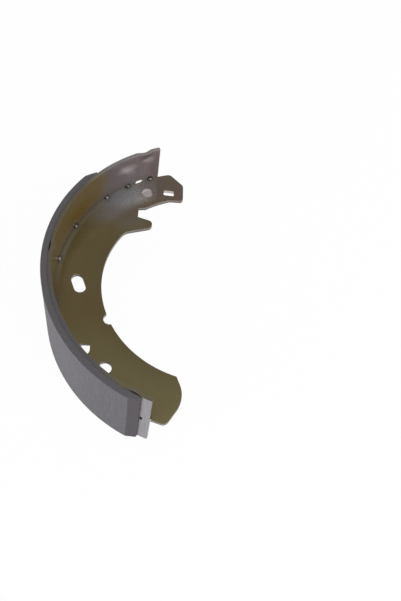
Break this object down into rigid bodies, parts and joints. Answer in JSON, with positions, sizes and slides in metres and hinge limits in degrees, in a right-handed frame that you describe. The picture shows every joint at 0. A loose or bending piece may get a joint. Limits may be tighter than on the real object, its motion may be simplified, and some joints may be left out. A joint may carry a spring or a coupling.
{
  "type": "drum brake shoe",
  "caption": "Drum brake shoe with a crescent web welded inside a rolled rim that carries a bonded, chamfered friction lining.",
  "frame": {"origin": "centre of the oval hold-down hole, at the middle of the web's thickness", "axes": "+Z along the drum axis and out of the web's upper face, -X towards the friction face, +Y towards the end with the slotted tip"},
  "size_m": [0.1183, 0.2543, 0.0762],
  "materials": {
    "web_steel": "yellow-olive zinc passivate, satin",
    "rim_steel": "rolled strip, zinc passivate, satin",
    "friction_lining": "ground moulded friction compound, matt",
    "weld_steel": "weld metal, satin"
  },
  "bodies": {
    "root": {"web": "web_steel", "rim": "rim_steel", "lining": "friction_lining", "weld_nuggets": "weld_steel"}
  },
  "joints": []
}
